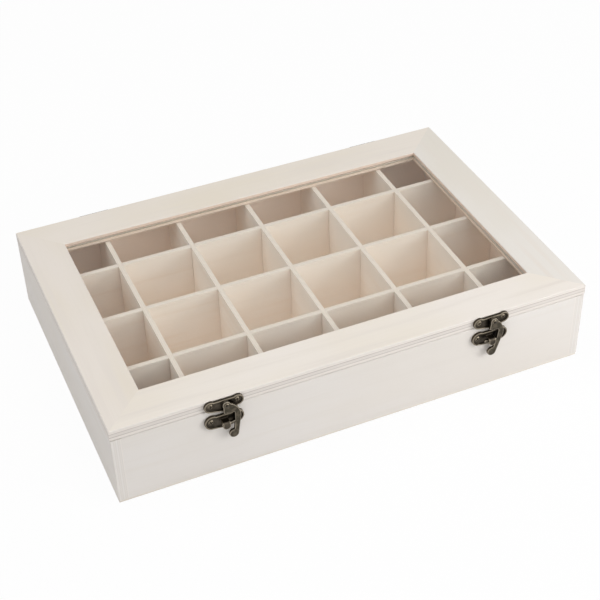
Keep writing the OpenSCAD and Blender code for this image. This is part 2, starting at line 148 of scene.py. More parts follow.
def fade(tree, value, low, high):
    """0 where value is at low, 1 where it is at high, and smooth between them."""
    sockets = {"Value": value, "From Min": low, "From Max": high}
    node = add_node(tree, "ShaderNodeMapRange", sockets, interpolation_type="SMOOTHSTEP")
    return node.outputs["Result"]


def new_material(name):
    """An empty node material with its output, as (material, tree, output)."""
    material = bpy.data.materials.new(name)
    material.use_nodes = True
    tree = material.node_tree
    tree.nodes.clear()
    return material, tree, tree.nodes.new("ShaderNodeOutputMaterial")


WHITE = shade("#FFFFFF")
print("#808080 is", round(shade("#808080")[0], 3), "in linear light, and white is", WHITE[0])

# %% [markdown]
# ## Wood
#
# The box is poplar plywood, sanded and left bare. Its faces are rotary-cut veneer: pale, matt,
# with short faint fibres along the board and broad clouds of a warmer tone. Its cut edges show
# the plies as thin lines. One function makes both: it finds out from the object's own normal
# whether it is on a face or on an edge, and draws fibres on the first and plies on the second.
#
# Fibres are noise that is stretched along the grain. Its size comes from real lengths: a fibre
# streak is about 45 mm long and 1 mm wide, and a cloud of tone is about as long as a hand. A real
# glue line is about a tenth of a millimetre wide. It is drawn 0.28 mm wide, because it would not
# show otherwise.

# %% Wood: fibres and plies
AXES = {"X": 0, "Y": 1, "Z": 2}
# Each noise has the length and width of its grains in mm, then its detail and its roughness.
STREAK_NOISE = ((45, 1.1), 3, 0.6)
FIGURE_NOISE = ((160, 9), 2, 0.5)
CLOUD_NOISE = ((120, 55), 2, 0.5)
PORE_NOISE = ((6, 0.35), 2, 0.5)
GLUE_LINE_MM = 0.28
FIRST_GLUE_MM = (0.7, 1)  # no glue line shows nearer to the face than this
SPARE_PLIES = 8  # keeps the number of a ply positive above the face, too


def stretched_noise(tree, place, grain, size_mm, detail, rough):
    """Noise whose grains are size_mm[0] long along the grain and size_mm[1] wide across it."""
    scale = [1 / mm(size_mm[1])] * 3
    scale[AXES[grain]] = 1 / mm(size_mm[0])
    mapping = add_node(tree, "ShaderNodeMapping", {"Vector": place, "Scale": scale})
    sockets = {"Vector": mapping.outputs[0], "Scale": 1, "Detail": detail, "Roughness": rough}
    noise = add_node(tree, "ShaderNodeTexNoise", sockets)
    return noise.outputs["Fac"]


def plies(tree, depth, veneer_mm, ply_mm):
    """Glue lines and alternate plies, from the depth in millimetres below the board's face."""
    count = calculate(tree, "DIVIDE", calculate(tree, "SUBTRACT", depth, veneer_mm), ply_mm)
    off_line = calculate(tree, "MULTIPLY", calculate(tree, "PINGPONG", count, 0.5), ply_mm)
    glue = fade(tree, off_line, 1.5 * GLUE_LINE_MM, 0.5 * GLUE_LINE_MM)
    glue = calculate(tree, "MULTIPLY", glue, fade(tree, depth, *FIRST_GLUE_MM))
    number = calculate(tree, "FLOOR", calculate(tree, "ADD", count, SPARE_PLIES))
    return glue, calculate(tree, "MODULO", number, 2)


print("a streak is", STREAK_NOISE[0], "mm and a glue line", GLUE_LINE_MM, "mm wide")

# %% [markdown]
# The plywood itself mixes these patterns. Each one gets a low and a high value of its noise:
# below the first it doesn't show, and above the second it shows in full. The streaks show at a
# tenth of their strength, since sanded poplar has hardly any contrast.
#
# The inside of a wall and its outside are one board. Its inside is painted paler and warmer
# than its outside: painted light, for the light that goes from wall to wall in the cells. The
# depth into the board tells them apart.

# %% Wood: the plywood
# How far the normal lies along the stack of plies, from a face to a cut edge.
EDGE_FACING = (0.9, 0.8)
CLOUD_SHOWS = (0.35, 0.7)
FIGURE_SHOWS = (0.5, 0.8)
STREAK_SHOWS = (0.5, 0.75)
STREAK_SHARE = 0.1
INNER_EDGE_MM = 0.2
LEAST_GLUE = 0.1
WOOD_ROUGHNESS = (0.55, 0.75)
WOOD_SPECULAR = 0.35
PORE_SHARE = 0.5
PORE_BUMP, PORE_DEPTH_MM = 0.12, 0.1


def wood(name, grain, stack, depth_of, veneer_mm, ply_mm, tones, inner=None):
    """Sanded plywood. grain and stack are the axes along the fibres and through the board.

    inner holds a depth function and a depth in mm: what lies deeper takes the tones named inner,
    which are painted light and painted shade on the side that faces the cells.
    """
    material, tree, output = new_material(name)
    coordinates = add_node(tree, "ShaderNodeTexCoord")
    place = coordinates.outputs["Object"]
    normal = add_node(tree, "ShaderNodeSeparateXYZ", {0: coordinates.outputs["Normal"]})
    position = add_node(tree, "ShaderNodeSeparateXYZ", {0: place})
    facing = calculate(tree, "ABSOLUTE", normal.outputs[AXES[stack]])
    on_edge = fade(tree, facing, *EDGE_FACING)
    tone = {part: shade(code) for part, code in tones.items()}

    streak = stretched_noise(tree, place, grain, *STREAK_NOISE)
    figure = stretched_noise(tree, place, grain, *FIGURE_NOISE)
    cloud = stretched_noise(tree, place, grain, *CLOUD_NOISE)
    face = blend_colours(tree, fade(tree, cloud, *CLOUD_SHOWS), tone["face"], tone["cloud"])
    face = blend_colours(tree, fade(tree, figure, *FIGURE_SHOWS), face, tone["figure"])
    lines = calculate(tree, "MULTIPLY", fade(tree, streak, *STREAK_SHOWS), STREAK_SHARE)
    face = blend_colours(tree, lines, face, tone["streak"])

    glue, odd = plies(tree, depth_of(tree, position.outputs), veneer_mm, ply_mm)
    cut = blend_colours(tree, odd, tone["cut"], tone["cut_dark"])
    line_tone = tone["glue"]
    if inner:
        inner_depth, inner_mm = inner
        depth = inner_depth(tree, position.outputs)
        inside = fade(tree, depth, inner_mm - INNER_EDGE_MM, inner_mm)
        face = blend_colours(tree, inside, face, tone["inner"])
        cut = blend_colours(tree, inside, cut, tone["inner"])
        line_tone = blend_colours(tree, inside, line_tone, tone["inner_glue_and_shade"])
    glue_share = calculate(tree, "MULTIPLY", glue, calculate(tree, "ADD", streak, LEAST_GLUE))
    cut = blend_colours(tree, glue_share, cut, line_tone)
    colour = blend_colours(tree, on_edge, face, cut)

    smoothest, roughest = WOOD_ROUGHNESS
    sockets = {"Value": streak, "To Min": smoothest, "To Max": roughest}
    rough = add_node(tree, "ShaderNodeMapRange", sockets)
    pores = stretched_noise(tree, place, grain, *PORE_NOISE)
    height = calculate(tree, "ADD", calculate(tree, "MULTIPLY", pores, PORE_SHARE), streak)
    sockets = {"Height": height, "Strength": PORE_BUMP, "Distance": mm(PORE_DEPTH_MM)}
    bump = add_node(tree, "ShaderNodeBump", sockets)
    sockets = {
        "Base Color": colour,
        "Roughness": rough.outputs["Result"],
        "Normal": bump.outputs[0],
        "Specular IOR Level": WOOD_SPECULAR,
    }
    shader = add_node(tree, "ShaderNodeBsdfPrincipled", sockets)
    tree.links.new(shader.outputs[0], output.inputs[0])
    return material


def depth_below(level, axis, fold=False):
    """A function that gives the depth in mm below a level on one axis, or on both its sides."""
    def depth(tree, position):
        place = position[AXES[axis]]
        if fold:
            place = calculate(tree, "ABSOLUTE", place)
        return calculate(tree, "MULTIPLY", calculate(tree, "SUBTRACT", level, place), 1 / MM)
    return depth


def depth_in_row(start, pitch, axis):
    """A function that gives the depth in mm into the nearest board of an evenly spaced row."""
    def depth(tree, position):
        offset = calculate(tree, "SUBTRACT", position[AXES[axis]], start)
        wrapped = calculate(tree, "FLOORED_MODULO", offset, pitch)
        return calculate(tree, "MULTIPLY", wrapped, 1 / MM)
    return depth


print("sanded wood is between", WOOD_ROUGHNESS[0], "and", WOOD_ROUGHNESS[1], "rough")

# %% [markdown]
# ## Wood: one finish for each kind of board
#
# The lid's rails are a little paler than the walls. The dividers, the insides of the walls and
# the floor of the cells are pale wood, painted paler and warmer still: painted light, which
# brightens the cells. Boards of one kind share a material, and they still differ, because the
# pattern follows the place in the box. Each rail has tones of its own.

# %% Wood for each board
LID_TONES = {
    "face": "#E6DFD7", "cloud": "#E3DBCE", "figure": "#E1D9D0", "streak": "#D3C9BC",
    "cut": "#DBD4CD", "cut_dark": "#E3DCD5", "glue": "#A19590",
    # On the rails' inner edges the wood is painted paler and warmer, as painted light from the
    # cells, and the glue lines dark brown, as painted shade under the rail's top edge.
    "inner": "#ECDACB", "inner_glue_and_shade": "#8B6F57",
}
LID_FRONT_TONES = dict(LID_TONES, face="#EAE3DB", cloud="#E7DFD3")
LID_BACK_TONES = dict(LID_TONES, face="#E6DED4", cloud="#E3DACB")
LID_LEFT_TONES = dict(LID_TONES, face="#E5DDD4", cloud="#E2D9CB")
LID_RIGHT_TONES = dict(LID_TONES, face="#E3DED7", cloud="#E0DAD0")
# The inner tones are painted light and shade: a wall's inside is painted paler and warmer than its
# outside, and its glue lines there are darker.
WALL_TONES = {
    "face": "#E1DCD7", "cloud": "#DFD9D2", "figure": "#DED8D1", "streak": "#D2CABF",
    "cut": "#E2DDD8", "cut_dark": "#DFD9D3", "glue": "#D7D2CB",
    "inner": "#F3E5DA", "inner_glue_and_shade": "#C9B49F",
}
# The dividers are painted paler and warmer than their wood: painted light in the cells.
DIVIDER_TONES = {
    "face": "#F5ECE4", "cloud": "#F4E9DE", "figure": "#F1E4D8", "streak": "#E7D7C8",
    "cut": "#EEDFD3", "cut_dark": "#EADBCF", "glue": "#DCCDC0",
}
# The panel's face is the floor of the cells, painted pale: painted light in the cells.
PANEL_TONES = {
    "face": "#F2E7DA", "cloud": "#F0E3D4", "figure": "#ECDDCC", "streak": "#E2D0BC",
    # The cut edge is painted paler, as painted light against the shade under the walls.
    "cut": "#EAE4DB", "cut_dark": "#E6DFD5", "glue": "#D9D0C4",
}

lid_low, lid_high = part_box("lid_front_rail")
front_low, front_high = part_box("base_front_wall")
left_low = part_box("base_left_wall")[0]
cross_1, cross_2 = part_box("divider_cross_1")[0].x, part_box("divider_cross_2")[0].x
long_1, long_2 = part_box("divider_long_1")[0].y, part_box("divider_long_2")[0].y
panel_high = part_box("base_bottom_panel")[1]

lid_depth = depth_below(lid_high.z, "Z")
front_depth = depth_below(-front_low.y, "Y", fold=True)
side_depth = depth_below(-left_low.x, "X", fold=True)
RAIL_MM = (lid_high.y - lid_low.y) / MM
# The plies are spaced so that the lowest glue line lies at the rails' lower edge, 9.3 mm down,
# where it also stands as painted shade in the gap between lid and base.
LID_PLIES = (3.1, 3.1)  # the veneer on the face and each ply below it, in mm
lid_rails = {
    "lid_front_rail": ("X", LID_FRONT_TONES), "lid_back_rail": ("X", LID_BACK_TONES),
    "lid_left_rail": ("Y", LID_LEFT_TONES), "lid_right_rail": ("Y", LID_RIGHT_TONES),
}
rail_woods = {}
for rail_name, (grain, tones) in lid_rails.items():
    inner = (front_depth if grain == "X" else side_depth, RAIL_MM)
    wood_name = f"poplar_plywood_sanded_{rail_name}"
    rail_woods[rail_name] = wood(wood_name, grain, "Z", lid_depth, *LID_PLIES, tones, inner)

WALL_PLIES = (0.8, 1.6)
WALL_MM = (front_high.y - front_low.y) / MM
wall_long_wood = wood("wall_poplar_plywood_sanded_long", "X", "Y", front_depth, *WALL_PLIES,
                      WALL_TONES, (front_depth, WALL_MM))
wall_side_wood = wood("wall_poplar_plywood_sanded_side", "Y", "X", side_depth, *WALL_PLIES,
                      WALL_TONES, (side_depth, WALL_MM))

DIVIDER_PLIES = (1.3, 1.4)
row_of_long = depth_in_row(long_1, long_2 - long_1, "Y")
row_of_cross = depth_in_row(cross_1, cross_2 - cross_1, "X")
divider_long_wood = wood("divider_basswood_ply_long", "X", "Y", row_of_long, *DIVIDER_PLIES,
                         DIVIDER_TONES)
divider_cross_wood = wood("divider_basswood_ply_cross", "Y", "X", row_of_cross, *DIVIDER_PLIES,
                          DIVIDER_TONES)

PANEL_PLIES = (0.5, 0.7)
panel_depth = depth_below(panel_high.z, "Z")
panel_wood = wood("bottom_birch_plywood_raw", "X", "Z", panel_depth, *PANEL_PLIES, PANEL_TONES)


def finish_nodes(material, *names):
    """Gives CAD nodes one material."""
    for name in names:
        slots = NODES[name].data.materials
        slots.clear()
        slots.append(material)


for rail_name, rail_wood in rail_woods.items():
    finish_nodes(rail_wood, rail_name)
finish_nodes(wall_long_wood, "base_front_wall", "base_back_wall")
finish_nodes(wall_side_wood, "base_left_wall", "base_right_wall")
finish_nodes(divider_long_wood, *[n for n in NODES if n.startswith("divider_long")])
finish_nodes(divider_cross_wood, *[n for n in NODES if n.startswith("divider_cross")])
finish_nodes(panel_wood, "base_bottom_panel")
boards = [n for n in NODES if "rail" in n or "wall" in n or "divider" in n or "panel" in n]
print("wood on", len(boards), "boards")

# %% [markdown]
# ## Glass
#
# The pane is float glass: clear, flat, with two polished faces and an IOR of 1.52. Glass in
# Cycles shuts out lamps, because their light would have to be traced through two refracting
# faces. Real glass of this thickness lets nearly all of it through, so shadow rays get a
# Transparent shader with the pane's faint tint. Diffuse rays get it too: if they met the glass
# while shadow rays pass it, some light would count twice, and the cells' brightness would depend
# on the number of lamps. What the camera sees, and what glossy surfaces mirror, still meets the
# glass itself.

# %% Glass
FLOAT_GLASS_IOR = 1.52


def float_glass(name):
    """Clear float glass that lets the lamps' light through."""
    material, tree, output = new_material(name)
    sockets = {
        "Base Color": shade("#FEFFFE"),
        "Transmission Weight": 1.0,
        "Roughness": 0.0,
        "IOR": FLOAT_GLASS_IOR,
    }
    glass = add_node(tree, "ShaderNodeBsdfPrincipled", sockets)
    open_way = add_node(tree, "ShaderNodeBsdfTransparent", {"Color": shade("#FCFEFD")})
    path = add_node(tree, "ShaderNodeLightPath").outputs
    carries_light = calculate(tree, "MAXIMUM", path["Is Shadow Ray"], path["Is Diffuse Ray"])
    sockets = {0: carries_light, 1: glass.outputs[0], 2: open_way.outputs[0]}
    mixed = add_node(tree, "ShaderNodeMixShader", sockets)
    tree.links.new(mixed.outputs[0], output.inputs[0])
    return material


finish_nodes(float_glass("float_glass_polished"), "lid_glass")
print("glass with an IOR of", FLOAT_GLASS_IOR, "on the pane")

# %% [markdown]
# ## Antique bronze
#
# The fittings are small zinc castings and steel stampings with an antique bronze finish. They are
# plated with brass, darkened with a patina, and then brushed, so that the brass comes back where
# a brush reaches: on rims, edges and the tops of domes. The eye reads that as a dark brown metal
# with dull yellow-grey lines along its raised edges.
#
# Where a brush reaches is a matter of shape. It is measured on the mesh and stored as an
# attribute called "worn", and the material reads it to move between patina and brass. The specks
# of a real patina are finer than a picture of the whole box can show, so they are drawn 0.9 mm
# wide.

# %% Antique bronze
PATINA_GRAIN_MM = 0.9
PATINA_CLOUD_MM = 3.5
WARM_SHOWS = (0.4, 0.65)
BARE_SHOWS = (0.45, 1.05)
PATCHY = 0.5  # how far the specks move the border between patina and brass
SMOOTHEST_METAL, ROUGH_SPAN = 0.24, 0.25
PATINA_BUMP, PATINA_DEPTH_MM = 0.15, 0.08


def antique_bronze(name, dark, warm, bright):
    """Brass-plated metal with a dark patina that is brushed off where the attribute worn says."""
    material, tree, output = new_material(name)
    place = add_node(tree, "ShaderNodeTexCoord").outputs["Object"]
    sockets = {"Vector": place, "Scale": 1 / mm(PATINA_CLOUD_MM), "Detail": 3}
    cloud = add_node(tree, "ShaderNodeTexNoise", sockets).outputs["Fac"]
    sockets = {"Vector": place, "Scale": 1 / mm(PATINA_GRAIN_MM), "Detail": 4, "Roughness": 0.65}
    grain = add_node(tree, "ShaderNodeTexNoise", sockets).outputs["Fac"]
    worn = add_node(tree, "ShaderNodeAttribute", attribute_name="worn").outputs["Fac"]
    specks = calculate(tree, "MULTIPLY_ADD", grain, PATCHY, -PATCHY / 2)
    bare = fade(tree, calculate(tree, "ADD", worn, specks), *BARE_SHOWS)
    patina = blend_colours(tree, fade(tree, cloud, *WARM_SHOWS), shade(dark), shade(warm))
    colour = blend_colours(tree, bare, patina, shade(bright))
    rough = calculate(tree, "MULTIPLY_ADD", grain, ROUGH_SPAN, SMOOTHEST_METAL)
    sockets = {"Height": grain, "Strength": PATINA_BUMP, "Distance": mm(PATINA_DEPTH_MM)}
    bump = add_node(tree, "ShaderNodeBump", sockets)
    sockets = {
        "Base Color": colour,
        "Metallic": 1.0,
        "Roughness": rough,
        "Normal": bump.outputs[0],
    }
    shader = add_node(tree, "ShaderNodeBsdfPrincipled", sockets)
    tree.links.new(shader.outputs[0], output.inputs[0])
    return material


plate_bronze = antique_bronze("antique_bronze_plated_stamping", "#403A32", "#504940", "#8C8272")
hook_bronze = antique_bronze("antique_bronze_plated_casting", "#454036", "#5E564A", "#998F80")
screw_bronze = antique_bronze("antique_bronze_plated_screw_steel", "#332E28", "#453E35", "#807666")
print("three finishes:", plate_bronze.name, hook_bronze.name, screw_bronze.name)

# %% [markdown]
# ## Cast and stamped fittings
#
# Every fitting starts as a copy of the CAD solids that it stands for, with their triangles
# merged, because a CAD mesh is loose triangles. The copy is shaped with modifiers, and then the
# evaluated mesh takes their place. It stays where it lies, so the fitting keeps its place in the
# box.
#
# The wear is measured on the finished mesh. At each vertex, the mean of its neighbours lies below
# the surface where the form bulges and above it where it is hollow. That height, blurred a little
# and scaled, is the attribute that the bronze reads.

# %% Cast and stamped fittings: copies and their wear
MERGE_MM = 0.002
FLAT_WEAR, BULGE_WEAR = 0.3, 0.7
SOFTENED = 2


def link(mesh, name):
    """A new object for a mesh, in the scene."""
    piece = bpy.data.objects.new(name, mesh)
    bpy.context.scene.collection.objects.link(piece)
    return piece


def merged_copy(names):
    """One mesh with the merged triangles of the named CAD nodes."""
    joined = bmesh.new()
    for name in names:
        joined.from_mesh(NODES[name].data)
    bmesh.ops.remove_doubles(joined, verts=joined.verts, dist=mm(MERGE_MM))
    mesh = bpy.data.meshes.new("merged")
    joined.to_mesh(mesh)
    joined.free()
    return mesh


def settle(piece):
    """Puts the evaluated mesh in place of the piece's modifiers."""
    graph = bpy.context.evaluated_depsgraph_get()
    mesh = bpy.data.meshes.new_from_object(piece.evaluated_get(graph))
    piece.modifiers.clear()
    piece.data = mesh


def measure_wear(mesh, reach, blur):
    """Stores the attribute worn: FLAT_WEAR on flat stretches, 1 on bulges, 0 in hollows.

    A bulge as high as reach is fully worn. A larger blur compares each place with a wider ring.
    """
    count = len(mesh.vertices)
    place = np.empty(count * 3)
    mesh.vertices.foreach_get("co", place)
    place = place.reshape(-1, 3)
    normal = np.empty(count * 3)
    mesh.vertex_normals.foreach_get("vector", normal)
    normal = normal.reshape(-1, 3)
    ends = np.empty(len(mesh.edges) * 2, int)
    mesh.edges.foreach_get("vertices", ends)
    first, second = ends.reshape(-1, 2).T
    degree = np.bincount(ends, minlength=count)

    def mean_of_neighbours(values):
        total = np.zeros_like(values)
        np.add.at(total, first, values[second])
        np.add.at(total, second, values[first])
        return total / degree.reshape(-1, *[1] * (values.ndim - 1))

    around = place
    for _ in range(blur):
        around = mean_of_neighbours(around)
    bulge = ((place - around) * normal).sum(1) / reach
    for _ in range(SOFTENED):
        bulge = mean_of_neighbours(bulge)
    worn = np.clip(FLAT_WEAR + BULGE_WEAR * bulge, 0, 1)
    layer = mesh.attributes.new("worn", "FLOAT", "POINT")
    layer.data.foreach_set("value", worn.astype(np.float32))
    return float(worn.mean())


print("corners closer than", MERGE_MM, "mm are merged")

# %% [markdown]
# The CAD solids of the hooks and plates have sharp edges, which no casting has. A voxel remesh
# turns the copy into even small faces, and smoothing then rounds every edge by about the same
# radius, as casting and tumbling do. The hooks are cast, and get more of it than the stamped
# plates.

# %% Cast and stamped fittings: the pieces
STAMPED = (0.18, 7)  # the faces' size in mm, and how many times they are smoothed
CAST = (0.16, 30)
SMOOTHING = 0.5
FITTING_REACH_MM, FITTING_BLUR = 0.08, 12


def cast_piece(name, nodes, voxel_mm, softness, material, body, slot):
    """A fitting that stands for CAD nodes: their form with every edge rounded."""
    piece = link(merged_copy(nodes), name)
    remesh = piece.modifiers.new("even_faces", "REMESH")
    remesh.mode = "VOXEL"
    remesh.voxel_size = mm(voxel_mm)
    smooth = piece.modifiers.new("rounded_edges", "SMOOTH")
    smooth.factor = SMOOTHING
    smooth.iterations = softness
    settle(piece)
    piece.data.polygons.foreach_set("use_smooth", [True] * len(piece.data.polygons))
    mean = measure_wear(piece.data, mm(FITTING_REACH_MM), FITTING_BLUR)
    piece.data.materials.clear()
    piece.data.materials.append(material)
    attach(piece, body)
    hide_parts(*nodes)
    print(name, len(piece.data.polygons), "faces, mean wear", round(mean, 2))


for side in ("left", "right"):
    cast_piece(f"hook_plate_{side}_stamped", [f"hook_plate_{side}"], *STAMPED, plate_bronze,
               "lid", "antique_bronze")
    cast_piece(f"catch_plate_{side}_stamped", [f"catch_plate_{side}"], *STAMPED, plate_bronze,
               "base", "antique_bronze")
    cast_piece(f"swing_hook_{side}_cast", [f"swing_hook_{side}"], *CAST, hook_bronze,
               f"hook_{side}", "antique_bronze")

# %% [markdown]
# ## Hinges
#
# The butt hinges at the back are rolled and bent from sheet, so their edges are crisp. A bevel of
# a tenth of a millimetre or two is enough to catch the light. First the triangles of each flat
# side are joined to one face, or the bevel would follow the lines between them.

# %% Hinges
SHEET_BEVEL_MM = 0.15
BEVEL_STEPS = 2
FLAT_ANGLE, BEVEL_ANGLE, SHARP_ANGLE = math.radians(1), math.radians(40), math.radians(50)


def rolled_piece(name, nodes, bevel_mm, material, body):
    """A sheet metal piece that stands for CAD nodes: their form with a narrow bevel."""
    mesh = merged_copy(nodes)
    flat = bmesh.new()
    flat.from_mesh(mesh)
    bmesh.ops.dissolve_limit(flat, angle_limit=FLAT_ANGLE, verts=flat.verts, edges=flat.edges)
    flat.to_mesh(mesh)
    flat.free()
    piece = link(mesh, name)
    bevel = piece.modifiers.new("bevel", "BEVEL")
    bevel.width = mm(bevel_mm)
    bevel.segments = BEVEL_STEPS
    bevel.angle_limit = BEVEL_ANGLE
    settle(piece)
    piece.data.shade_smooth()
    piece.data.set_sharp_from_angle(angle=SHARP_ANGLE)
    piece.data.materials.clear()
    piece.data.materials.append(material)
    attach(piece, body)
    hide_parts(*nodes)
    print(name, len(piece.data.polygons), "faces")


for side in ("left", "right"):
    rolled_piece(f"hinge_base_leaf_{side}_rolled", [f"hinge_base_leaf_{side}"], SHEET_BEVEL_MM,
                 plate_bronze, "base")
    rolled_piece(f"hinge_lid_leaf_{side}_rolled", [f"hinge_lid_leaf_{side}"], SHEET_BEVEL_MM,
                 plate_bronze, "lid")
finish_nodes(screw_bronze, "hinge_pin_left", "hinge_pin_right")

# %% [markdown]
# ## Screws and rivets
#
# Sixteen small screws and two rivets repeat over the fittings. Each kind is one mesh: a domed
# head, with a cross recess in the screws, on a plain shank. Its sizes and its places are measured
# on the CAD solids that it stands for.
#
# A short Geometry Nodes tree puts one copy at each place and turns it about its own axis by a
# random angle, because nobody lines up the crosses of screws. Realized and set to the metal, the
# copies become one plain mesh for each set.

# %% Screws and rivets: the places and the mesh
SOLID_GAP_MM = 5
SECTORS, HEAD_STEPS = 48, 18
# The recess as shares of its radius and the head's height, and how soft its sides and ends are.
ARM_WIDTH, RECESS_DEPTH, SOFT_SIDE, SOFT_END = 0.22, 0.55, 1.6, 4
SCREW_REACH_MM, SCREW_BLUR = 0.06, 6
FRONT, BACK = 1, -1  # the side that a dome faces


def cad_solids(names):
    """The lower and upper corners of the solids in CAD nodes, which stand side by side along X."""
    place = np.array([vertex.co for name in names for vertex in NODES[name].data.vertices])
    place = place[place[:, 0].argsort()]
    starts = np.flatnonzero(np.diff(place[:, 0]) > mm(SOLID_GAP_MM)) + 1
    return [(solid.min(0), solid.max(0)) for solid in np.split(place, starts)]


def fastener_mesh(name, head_r, head_h, shank_r, shank_len, recess_r, facing):
    """A fastener with its seat on the plane y = 0 and its dome in front. BACK turns it round."""
    dome_r = (head_r ** 2 + head_h ** 2) / (2 * head_h)
    radii = [head_r * step / HEAD_STEPS for step in range(1, HEAD_STEPS + 1)]
    depths = [dome_r - head_h - math.sqrt(dome_r ** 2 - r ** 2) for r in radii]
    radii, depths = [*radii, shank_r, shank_r], [*depths, 0, shank_len]

    def recess(x, z):
        """How deep the cross is sunk at a place on the head."""
        if not recess_r:
            return 0
        share = 0
        for across, along in ((abs(x), abs(z)), (abs(z), abs(x))):
            side = SOFT_SIDE - across / (ARM_WIDTH * recess_r)
            end = SOFT_END - SOFT_END * along / recess_r
            share = max(share, min(side, end))
        return RECESS_DEPTH * head_h * min(share, 1)

    points = [(0, recess(0, 0) - head_h, 0)]
    for radius, depth in zip(radii, depths):
        for sector in range(SECTORS):
            angle = sector * math.tau / SECTORS
            x, z = radius * math.cos(angle), radius * math.sin(angle)
            points.append((x, depth + (recess(x, z) if depth < 0 else 0), z))
    points.append((0, shank_len, 0))
    faces = []
    for sector in range(SECTORS):
        after = (sector + 1) % SECTORS
        faces.append((0, 1 + sector, 1 + after))
        for ring in range(len(radii) - 1):
            low, high = 1 + ring * SECTORS, 1 + (ring + 1) * SECTORS
            faces.append((low + sector, high + sector, high + after, low + after))
        faces.append((high + sector, len(points) - 1, high + after))
    mesh = bpy.data.meshes.new(name)
    mesh.from_pydata([(facing * x, facing * y, z) for x, y, z in points], [], faces)
    mesh.shade_smooth()
    mesh.set_sharp_from_angle(angle=SHARP_ANGLE)
    measure_wear(mesh, mm(SCREW_REACH_MM), SCREW_BLUR)
    return mesh


catch_screw_places = cad_solids(["catch_screws"])
print("the catches are held by", len(catch_screw_places), "screws")

# %% [markdown]
# The tree has a named input for everything that changes from set to set. The inputs are given by
# their identifiers before the tree runs for the first time.

# %% Screws and rivets: the tree
fasteners = bpy.data.node_groups.new("fasteners", "GeometryNodeTree")
for input_name, kind in (
    ("Places", "NodeSocketGeometry"),
    ("Fastener", "NodeSocketObject"),
    ("Most Turn", "NodeSocketFloat"),
    ("Seed", "NodeSocketInt"),
    ("Metal", "NodeSocketMaterial"),
):
    fasteners.interface.new_socket(input_name, in_out="INPUT", socket_type=kind)
fasteners.interface.new_socket("Fasteners", in_out="OUTPUT", socket_type="NodeSocketGeometry")
given = add_node(fasteners, "NodeGroupInput").outputs
shape = add_node(fasteners, "GeometryNodeObjectInfo", {"Object": given["Fastener"]})
sockets = {2: 0.0, 3: given["Most Turn"], "Seed": given["Seed"]}
turn = add_node(fasteners, "FunctionNodeRandomValue", sockets, data_type="FLOAT")
sockets = {"Axis": (0, 1, 0), "Angle": turn.outputs[1]}
rotation = add_node(fasteners, "FunctionNodeAxisAngleToRotation", sockets)
sockets = {
    "Points": given["Places"],
    "Instance": shape.outputs["Geometry"],
    "Rotation": rotation.outputs[0],
}
copies = add_node(fasteners, "GeometryNodeInstanceOnPoints", sockets)
real = add_node(fasteners, "GeometryNodeRealizeInstances", {0: copies.outputs[0]})
sockets = {0: real.outputs[0], "Material": given["Metal"]}
finished = add_node(fasteners, "GeometryNodeSetMaterial", sockets)
add_node(fasteners, "NodeGroupOutput", {"Fasteners": finished.outputs[0]})
print("the tree has", len(fasteners.nodes), "nodes")

# %% [markdown]
# Each set takes its places from the CAD solids. The screws of the hinges face the back, so theirs
# are turned round.

# %% Screws and rivets: one mesh for each set
# The head's height, the shank's radius and the recess's radius, in mm.
LATCH_SCREW, LEAF_SCREW, RIVET = (1, 1.1, 1.5), (0.6, 1.1, 1.2), (0.9, 1.2, 0)


def fasten(name, nodes, head_h_mm, shank_r_mm, recess_r_mm, facing, seed, body, slot):
    """A set of equal fasteners that stands for CAD nodes."""
    solids = cad_solids(nodes)
    low, high = solids[0]
    head_h = mm(head_h_mm)
    shank_len = high[1] - low[1] - head_h
    head_r = (high[0] - low[0]) / 2
    shape = fastener_mesh(name + "_shape", head_r, head_h, mm(shank_r_mm), shank_len,
                          mm(recess_r_mm), facing)
    pattern = bpy.data.objects.new(name + "_pattern", shape)
    places = []
    for low, high in solids:
        seat = low[1] + head_h if facing == FRONT else high[1] - head_h
        places.append(((low[0] + high[0]) / 2, seat, (low[2] + high[2]) / 2))
    spots = bpy.data.meshes.new(name + "_places")
    spots.from_pydata(places, [], [])
    piece = link(spots, name)
    modifier = piece.modifiers.new("fasteners", "NODES")
    modifier.node_group = fasteners
    values = {"Fastener": pattern, "Most Turn": math.pi, "Seed": seed, "Metal": screw_bronze}
    for item in fasteners.interface.items_tree:
        if item.name in values:
            modifier[item.identifier] = values[item.name]
    settle(piece)
    bpy.data.objects.remove(pattern)
    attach(piece, body)
    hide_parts(*nodes)
    print(name, len(places), "pieces,", len(piece.data.polygons), "faces")


# The number after the side that a set faces is its seed.
fasten("catch_screws_domed", ["catch_screws"], *LATCH_SCREW, FRONT, 3,
       "base", "bronze_fastener")
fasten("hook_plate_screws_domed", ["hook_plate_screws"], *LATCH_SCREW, FRONT, 5,
       "lid", "bronze_fastener")
fasten("hinge_base_screws_domed", ["hinge_base_screws"], *LEAF_SCREW, BACK, 7,
       "base", "bronze_fastener")
fasten("hinge_lid_screws_domed", ["hinge_lid_screws"], *LEAF_SCREW, BACK, 9,
       "lid", "bronze_fastener")
fasten("hook_rivets_domed", ["hook_rivet_left", "hook_rivet_right"], *RIVET, FRONT, 11,
       "lid", "bronze_fastener")

# %% [markdown]
# ## Light
#
# The photograph is lit softly from all sides, a little more from the right, on a white sweep.
# Four soft lamps stand round the box and above it, and a pale world fills the rest.
#
# In a cell of pale wood light goes from wall to wall many times before it leaves. Four diffuse
# bounces, which are the default, stop it too early: the cells come out 5 to 13 percent darker,
# and up to 18 percent darker in red. The scene allows twelve.

# %% Light
BOX_MIDDLE = Vector((0, 0, mm(40)))
DIFFUSE_BOUNCES = 12


